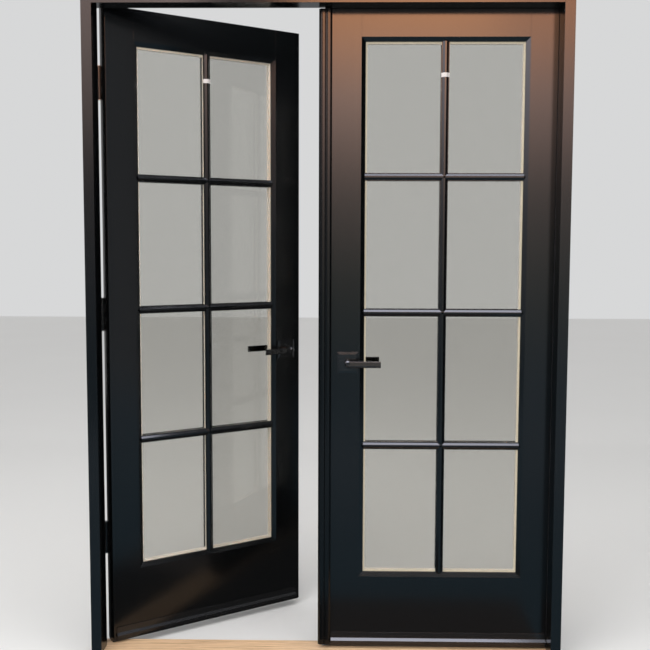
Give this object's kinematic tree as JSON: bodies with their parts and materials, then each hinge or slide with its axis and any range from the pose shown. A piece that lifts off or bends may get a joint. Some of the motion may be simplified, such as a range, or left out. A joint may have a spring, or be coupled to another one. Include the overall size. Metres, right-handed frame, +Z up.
{
  "type": "french doors",
  "caption": "Pair of glazed inward-opening doors with divided lites in a rabbeted frame, one leaf swung open, with lever handles and a covered meeting edge.",
  "frame": {"origin": "on the underside of the threshold, midway between the leaves, in the plane of the shut leaves' outer faces", "axes": "+Z up, +X to the right as seen from outside, +Y into the room, the way the leaves open"},
  "size_m": [1.474, 0.5372, 2.06],
  "materials": {
    "black_paint": "satin black paint",
    "black_extrusion": "satin black coating",
    "oak": "clear matt oil",
    "glass": "clear float glass",
    "spacer": "satin cream",
    "black_metal": "satin black",
    "steel": "brushed",
    "seal": "matt",
    "white_band": "matt"
  },
  "bodies": {
    "frame": {"left_jamb": "black_paint", "right_jamb": "black_paint", "head_jamb": "black_paint", "threshold": "oak", "weatherstrip": "seal", "corner_screws": "steel", "bolt_keepers": "steel", "right_hinge_frame_plates": "black_metal", "left_hinge_frame_plates": "black_metal", "right_hinge_pins": "steel", "left_hinge_pins": "steel"},
    "left_leaf": {"left_bottom_rail": "black_paint", "left_glass_spacer": "spacer", "left_glazing_beads": "black_paint", "left_hinge_leaf_plates": "black_metal", "left_hinge_stile": "black_paint", "left_inner_muntins": "black_paint", "left_inner_pane": "glass", "left_inner_rose": "black_metal", "left_latch_case": "steel", "left_latch_faceplate": "steel", "left_meeting_stile": "black_paint", "left_muntin_band": "white_band", "left_outer_muntins": "black_paint", "left_outer_pane": "glass", "left_outer_rose": "black_metal", "left_rose_bolts": "steel", "left_sweep_carrier": "black_metal", "left_sweep_seal": "seal", "left_top_rail": "black_paint"},
    "left_lever": {"left_outer_lever": "black_metal", "left_inner_lever": "black_metal", "left_spindle": "steel"},
    "latch": {"left_latch_bolt": "steel"},
    "right_leaf": {"right_bottom_rail": "black_paint", "right_glass_spacer": "spacer", "right_glazing_beads": "black_paint", "right_hinge_leaf_plates": "black_metal", "right_hinge_stile": "black_paint", "right_inner_lever": "black_metal", "right_inner_muntins": "black_paint", "right_inner_pane": "glass", "right_inner_rose": "black_metal", "right_meeting_stile": "black_paint", "right_muntin_band": "white_band", "right_outer_lever": "black_metal", "right_outer_muntins": "black_paint", "right_outer_pane": "glass", "right_outer_rose": "black_metal", "right_rose_bolts": "steel", "right_spindle": "steel", "right_sweep_carrier": "black_metal", "right_sweep_seal": "seal", "right_top_rail": "black_paint", "astragal_post": "black_extrusion", "astragal_cover": "black_extrusion", "astragal_seal": "seal", "strike_plate": "steel"},
    "top_bolt": {"top_flush_bolt": "steel"},
    "bottom_bolt": {"bottom_flush_bolt": "steel"}
  },
  "joints": [
    {"name": "left_leaf_swing", "type": "hinge", "parent": "frame", "child": "left_leaf", "pos_m": [-0.7165, 0.051, 0], "axis": [0, 0, 1], "range_deg": [-34.3, 65.7]},
    {"name": "right_leaf_swing", "type": "hinge", "parent": "frame", "child": "right_leaf", "pos_m": [0.7165, 0.051, 0], "axis": [0, 0, -1], "range_deg": [0, 100]},
    {"name": "left_lever_turn", "type": "hinge", "parent": "left_leaf", "child": "left_lever", "pos_m": [-0.16375, 0.39326, 0.938], "axis": [0.5635, -0.8261, 0], "range_deg": [0, 45], "stiffness_Nm_per_rad": 0.8, "springref_deg": -20.05},
    {"name": "latch_slide", "type": "slide", "parent": "left_leaf", "child": "latch", "axis": [-0.8261, -0.5635, 0], "range_m": [0, 0.012]},
    {"name": "top_bolt_slide", "type": "slide", "parent": "right_leaf", "child": "top_bolt", "axis": [0, 0, 1], "range_m": [0, 0.02]},
    {"name": "bottom_bolt_slide", "type": "slide", "parent": "right_leaf", "child": "bottom_bolt", "axis": [0, 0, -1], "range_m": [0, 0.02]}
  ],
  "couplings": [
    {"joint": "latch_slide", "follows": "left_lever_turn", "m_per_rad": 0.015}
  ]
}
